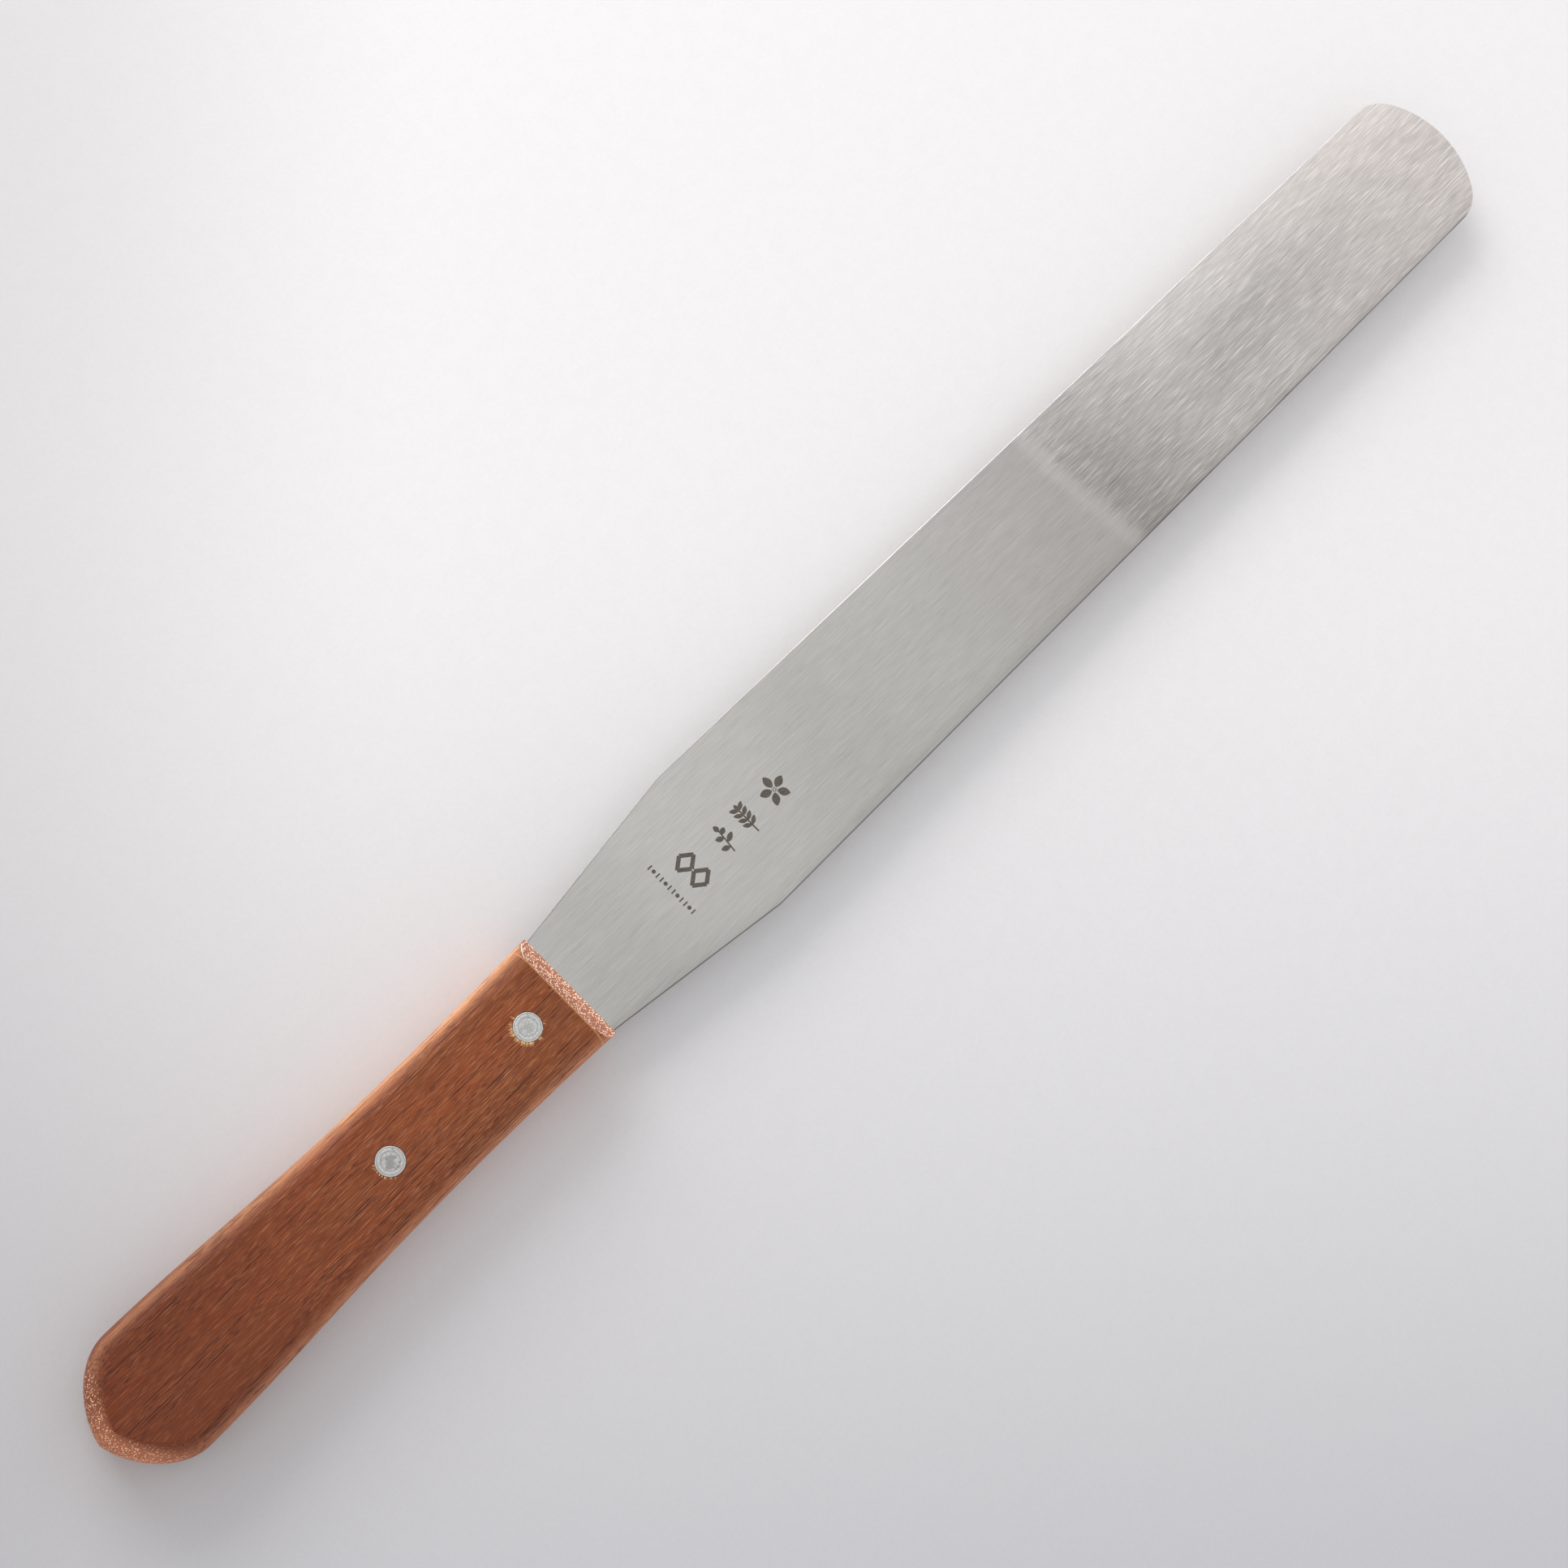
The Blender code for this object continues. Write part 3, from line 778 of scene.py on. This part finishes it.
def make_handle(material):
    side = handle_side()
    outline = side + [Vector((p.x, -p.y)) for p in reversed(side[:-1])]
    # The chain runs from the mouth at +Y round the butt, so its inward side is on the other hand.
    normals = [-n for n in inward(outline, closed=False)]
    normals[0] = Vector((0, -1))
    normals[-1] = Vector((0, 1))
    slants = normals[:]
    # Smoothed directions keep the inner outlines clear of themselves at the butt's tight corners.
    for _ in range(DIRECTION_PASSES):
        smoothed = [(a + 2 * b + c) / 4 for a, b, c in zip(slants, slants[1:], slants[2:])]
        slants = [slants[0]] + smoothed + [slants[-1]]
    profiles = []
    for point, normal in zip(outline, normals):
        round_butt = min(1.0, max(0.0, normal.x / BUTT_FACING)) if point.x < WIDEST_X else 0.0
        profiles.append(side_profile(SIDE_START + (BUTT_START - SIDE_START) * round_butt))
    rings = []
    for level in range(len(profiles[0])):
        ring = []
        for point, painted_lean, profile in zip(outline, slants, profiles):
            inset, z = profile[level]
            ring.append((*(point + inset * painted_lean.normalized()), MID_Z + z))
        rings.append(ring)
    bm = bmesh.new()
    loft(bm, rings, closed=False)
    handle = new_object("handle_wood", bm, material)

    tools = [front_wedge(1), front_wedge(-1)]
    kerf = BLADE_HALF + KERF_GAP
    wide = MOUTH_WIDTH / 2 + OVER
    corners = [(x, MID_Z + z) for x, z in ((TANG_END_X - KERF_GAP, -kerf), (MOUTH_X + OVER, -kerf),
                                           (MOUTH_X + OVER, kerf), (TANG_END_X - KERF_GAP, kerf))]
    bm = bmesh.new()
    add_prism(bm, [(-wide, corners), (wide, corners)])
    tools.append(cutter(bm, "kerf"))
    for node in RIVETS:
        low_corner, high_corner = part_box(node)
        radius = (high_corner.x - low_corner.x) / 2 + HOLE_GAP
        bm = bmesh.new()
        bmesh.ops.create_cone(bm, cap_ends=True, segments=HOLE_SEGMENTS, radius1=radius, radius2=radius,
                              depth=2 * (HANDLE_HALF + OVER))
        bm.transform(Matrix.Translation(((low_corner.x + high_corner.x) / 2, 0.0, MID_Z)))
        tools.append(cutter(bm, "rivet_hole"))
    cut(handle, tools)
    settle(handle, sharp_angle=26)
    stand_in(handle, "handle")


def make_rivet(node, material, seed):
    """A pin whose ends are filed flat: a rough middle, two shallow turned rings and a soft edge."""
    low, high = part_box(node)
    center_x = (low.x + high.x) / 2
    radius = (high.x - low.x) / 2
    top = high.z - MID_Z - RIVET_DROP
    rings = []
    for share, depth in RIVET_FACE:
        rough = ROUGH_MIDDLE * max(0.0, 1 - (share / ROUGH_SHARE) ** 4) + ROUGH_ALL_OVER
        ring = []
        for i in range(RIVET_SEGMENTS):
            a = 2 * math.pi * i / RIVET_SEGMENTS
            x, y = share * radius * math.cos(a), share * radius * math.sin(a)
            bump = noise.noise(Vector((x, y, seed * 0.01)) * ROUGH_WAVES) * rough
            ring.append((center_x + x, y, top - RING_DEPTH * depth - abs(bump)))
        rings.append(ring)
    upper = [[(x, y, MID_Z + z) for x, y, z in ring] for ring in rings]
    lower = [[(x, y, MID_Z - z) for x, y, z in ring] for ring in reversed(rings)]
    bm = bmesh.new()
    loft(bm, [list(reversed(ring)) for ring in upper + lower], closed=True)
    pin = new_object(node + "_pin", bm, material)
    settle(pin, sharp_angle=50)
    stand_in(pin, node)


def add_plate(bm, outline, low_z, high_z):
    """A closed flat plate from an outline of (x, y) points in the part's frame."""
    bottom = [bm.verts.new((x, y, low_z)) for x, y in outline]
    top = [bm.verts.new((x, y, high_z)) for x, y in outline]
    bm.faces.new(top)
    bm.faces.new(list(reversed(bottom)))
    count = len(outline)
    for i in range(count):
        j = (i + 1) % count
        bm.faces.new((bottom[i], bottom[j], top[j], top[i]))


def leaf(center, angle, length, width):
    """A pointed leaf, from its stalk end at the center out along the angle."""
    along = Vector((math.cos(angle), math.sin(angle)))
    across = Vector((-along.y, along.x))
    right, left = [], []
    for i in range(LEAF_STEPS + 1):
        t = i / LEAF_STEPS
        half = width / 2 * math.sin(math.pi * t) ** 0.8 if 0 < t < 1 else 0.0
        spine = Vector(center) + along * length * t
        right.append(spine - across * half)
        if 0 < t < 1:
            left.append(spine + across * half)
    return right + left[::-1]


def disc(center, radius, steps):
    return [Vector(center) + radius * Vector((math.cos(a), math.sin(a)))
            for a in (2 * math.pi * i / steps for i in range(steps))]


def bar(start, end, width):
    start, end = Vector(start), Vector(end)
    side = (end - start).normalized() * width / 2
    side = Vector((-side.y, side.x))
    return [start - side, end - side, end + side, start + side]


def blossom(size):
    """Five petals round an open middle."""
    shapes = []
    for i in range(5):
        angle = 2 * math.pi * i / 5 + math.radians(18)
        foot = Vector((math.cos(angle), math.sin(angle))) * size * 0.16
        shapes.append(leaf(foot, angle, size * 0.82, size * 0.50))
        shapes.append(disc(foot.normalized() * size * -0.10, size * 0.045, 10))
    return shapes


def wheat_ear(size):
    """A stalk across the blade with paired grains."""
    shapes = [bar((0.0, -size), (0.0, size * 0.62), size * 0.10)]
    for i in range(4):
        y = size * (-0.50 + 0.36 * i)
        for turn in (35, 145):
            shapes.append(leaf((0.0, y), math.radians(turn), size * 0.60, size * 0.27))
    shapes.append(leaf((0.0, size * 0.60), math.radians(90), size * 0.44, size * 0.24))
    return shapes


def sprig(size):
    """A curved run of leaves in two sizes."""
    shapes = [bar((-size * 0.10, -size), (size * 0.06, size * 0.55), size * 0.10)]
    for y, turn, length in ((-0.62, 158, 0.66), (-0.30, 24, 0.74), (0.02, 152, 0.60),
                            (0.28, 30, 0.50), (0.50, 96, 0.50)):
        foot = (size * (-0.10 + 0.16 * (y + 1) / 1.55), size * y)
        shapes.append(leaf(foot, math.radians(turn), size * length, size * 0.36))
    return shapes


def lozenges(size):
    """Two bold diamonds side by side, each of four bars round an open middle."""
    shapes = []
    reach = size * 0.44
    ways = ((1.35, 0), (0, 1), (-1.35, 0), (0, -1))
    for y in (-0.52, 0.52):
        corners = [Vector((0.0, size * y)) + reach * Vector(way) for way in ways]
        for i in range(4):
            shapes.append(bar(corners[i], corners[(i + 1) % 4], size * 0.22))
    return shapes


def beaded_line(count, start, pitch):
    """A row across the blade: one dot to two short bars."""
    shapes = []
    for i in range(count):
        y = start - i * pitch
        if i % 3 == 1:
            shapes.append(disc((0.0, y), 0.00046, 14))
        else:
            shapes.append(bar((-0.00062, y), (0.00062, y), 0.00034))
    return shapes


def make_marks(material):
    """Etched ornaments by the mouth: three emblems, a pair of lozenges and a beaded line."""
    marks = (("mark_blossom", 0.0606, -0.0004, blossom(0.0036)),
             ("mark_wheat", 0.0517, -0.0006, wheat_ear(0.0037)),
             ("mark_sprig", 0.0452, -0.0004, sprig(0.0034)),
             ("mark_lozenges", 0.0355, -0.0005, lozenges(0.0042)),
             ("mark_beads", 0.0293, 0.0, beaded_line(12, 0.0060, 0.00115)))
    for name, x, y, shapes in marks:
        bm = bmesh.new()
        for level, shape in enumerate(shapes):
            outline = [(MOUTH_X + x + p.x, y + p.y) for p in shape]
            high = BLADE_TOP_Z + MARK_HEIGHT + TOP_STEP * level
            add_plate(bm, outline, BLADE_TOP_Z - MARK_DEPTH, high)
        bmesh.ops.recalc_face_normals(bm, faces=bm.faces[:])
        mark = new_object(name, bm, material)
        stand_in(mark, None)


def add_sliver(bm, points, width, thickness):
    """A flat tapering splinter along a few points, from its root to its thin tip."""
    rings = []
    last = len(points) - 1
    for i, point in enumerate(points):
        ahead = (points[min(i + 1, last)] - points[max(i - 1, 0)]).normalized()
        side = Vector((-ahead.y, ahead.x, 0.0)).normalized()
        taper = 1.0 - SLIVER_TAPER * i / last
        half = side * width / 2 * taper
        up = Vector((0.0, 0.0, thickness / 2 * taper))
        rings.append([point + half, point + up, point - half, point - up])
    made = [[bm.verts.new(p) for p in ring] for ring in rings]
    for lower, upper in zip(made, made[1:]):
        for i in range(4):
            j = (i + 1) % 4
            bm.faces.new((lower[i], lower[j], upper[j], upper[i]))
    bm.faces.new(list(reversed(made[0])))
    bm.faces.new(made[-1])


def make_torn_fibres(node, material, count, longest, seed):
    """Splinters that the drill lifted at the butt's side of a rivet hole."""
    draw = random.Random(seed)
    low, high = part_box(node)
    center = Vector(((low.x + high.x) / 2, 0.0))
    radius = (high.x - low.x) / 2 + HOLE_GAP
    bm = bmesh.new()
    for _ in range(count):
        angle = math.pi + math.radians(draw.gauss(*FIBRE_AIM))
        way = Vector((math.cos(angle), math.sin(angle)))
        bend = math.radians(draw.uniform(-FIBRE_BEND, FIBRE_BEND))
        length = longest * draw.uniform(FIBRE_SHORTEST, 1.0)
        place = center + way * (radius + draw.uniform(*FIBRE_ROOT))
        z = WOOD_TOP_Z + draw.uniform(*FIBRE_LIFT)
        rise = draw.uniform(0.2, 1.0) * (HANDLE_TOP_Z - FIBRE_HEADROOM - z)
        points = []
        for i in range(4):
            points.append(Vector((place.x, place.y, z + rise * math.sin(math.pi * i / 4))))
            heading = angle + bend * i / 3
            place = place + Vector((math.cos(heading), math.sin(heading))) * length / 3
        add_sliver(bm, points, draw.uniform(*FIBRE_WIDTH), FIBRE_THICKNESS)
    bmesh.ops.recalc_face_normals(bm, faces=bm.faces[:])
    fibres = new_object(node + "_torn_fibres", bm, material)
    fibres.data.shade_smooth()
    stand_in(fibres, None)


def make_edge_highlight(material):
    """A splinter standing along the left end of the front bevel, where the saw left it ragged; its
    near-white colour is a painted highlight on that edge.
    """
    slope = FRONT_BEVEL / (WOOD_TOP_Z - MID_Z - BLADE_HALF - KERF_GAP - FRONT_LAND)
    points = []
    for i in range(9):
        t = i / 8
        drop = SIDE_DROP * 0.92 * (1 - t) ** 1.6
        x = MOUTH_X - FRONT_BEVEL + slope * drop + 0.00005
        y = MOUTH_WIDTH / 2 - 0.00035 - (SIDE_BAND - 0.0007) * t ** 1.15
        jag = noise.noise(Vector((t * 9.0, 3.0, 0.0))) * 0.00012
        points.append(Vector((x + jag, y + jag, WOOD_TOP_Z - drop - 0.00002)))
    bm = bmesh.new()
    add_sliver(bm, points, 0.00050, 0.00016)
    bmesh.ops.recalc_face_normals(bm, faces=bm.faces[:])
    edge = new_object("front_edge_highlight", bm, material)
    edge.data.shade_smooth()
    stand_in(edge, None)


# ---- stage -----------------------------------------------------------------------------------------
def make_floor():
    """A pale sheet with painted light: darker towards the butt and at the far left, as light falls off
    across a backdrop.
    """
    g = Finish("pale_floor")
    speck = g.noise(g.cells((220, 220, 220)), 3.0, 0.6)
    tooth = g.noise(g.cells((1100, 1100, 1100)), 2.0, 0.7)
    # Painted light: paler along FALL_OFF_WAY, painted shade at the far left.
    painted_fall_off = g.spread(g.vector("DOT_PRODUCT", g.place, FALL_OFF_WAY), -0.28, 0.06)
    base = g.mix(painted_fall_off, FLOOR_PAINTED_DARK, FLOOR_PAINTED_BRIGHT)
    away = g.add("ShaderNodeVectorMath", {0: g.place}, operation="LENGTH").outputs["Value"]
    base = g.mix(g.spread(away, *FLOOR_EVEN_FROM), base, FLOOR_EVEN)
    beside = g.vector("DOT_PRODUCT", g.place, BESIDE_WAY)
    painted_dim_left = g.times(g.spread(beside, 0.09, 0.20, 1.0, 0.80), g.sum(1.0, g.swing(tooth, 0.07)))
    base = g.mix(g.spread(speck, 0.3, 0.7, 0.0, 0.03), g.scale(base, painted_dim_left), FLOOR_SPECK)
    g.set("Base Color", base)
    g.set("Roughness", 0.8)
    g.set("Specular IOR Level", 0.2)
    bm = bmesh.new()
    bmesh.ops.create_circle(bm, cap_ends=True, segments=96, radius=FLOOR_RADIUS)
    floor = new_object("floor", bm, g.owner)
    floor.location.z = -FLOOR_DROP


def make_key():
    """One large soft light on the left, aimed at the blade near the handle."""
    light = bpy.data.lights.new("left_key", "AREA")
    light.shape = "RECTANGLE"
    light.size, light.size_y = KEY_SIZE
    light.energy = KEY_POWER
    light.color = KEY_TINT
    obj = bpy.data.objects.new("left_key", light)
    obj.location = KEY_PLACE
    obj.rotation_euler = (KEY_AIM - KEY_PLACE).to_track_quat("-Z", "Y").to_euler()
    bpy.context.scene.collection.objects.link(obj)


def make_world():
    """A pale studio sky: even overhead, brighter high up ahead of the tip and low down elsewhere."""
    world = bpy.data.worlds.new("studio")
    g = Graph(world, "Background")
    direction = g.add("ShaderNodeTexCoord").outputs["Generated"]
    height = g.axis(direction, "Z")
    toward_tip = g.axis(direction, "X")
    ahead = g.times(g.spread(toward_tip, 0.50, 0.74, 0.0, SKY_AHEAD), g.spread(height, 0.34, 0.56))
    side = g.spread(g.vector("DOT_PRODUCT", direction, BRIGHT_SIDE), -0.8, 0.8, *SKY_RING)
    ring = g.times(g.spread(height, 0.50, 0.10), side, g.spread(toward_tip, 0.10, 0.80, 1.0, RING_AHEAD))
    g.set("Color", color(*SKY_TINT))
    g.set("Strength", g.sum(SKY_OVERHEAD, ahead, ring))
    bpy.context.scene.world = world


def main():
    bpy.context.scene.view_settings.view_transform = "Standard"
    make_camera()
    make_blade(brushed_steel())
    make_marks(etched_oxide())
    make_handle(handle_wood())
    metal = rivet_metal()
    for seed, node in enumerate(RIVETS):
        make_rivet(node, metal, seed)
    torn = fibre_wood("fibre_wood", *TORN_COLORS)
    # Near white, for a painted highlight on the front bevel's edge.
    edge_highlight = fibre_wood("edge_highlight_wood", *EDGE_HIGHLIGHT_COLORS)
    make_torn_fibres("rivet_front", torn, count=72, longest=0.0010, seed=4)
    make_torn_fibres("rivet_rear", torn, count=20, longest=0.0006, seed=9)
    make_edge_highlight(edge_highlight)
    make_floor()
    make_world()
    make_key()


main()
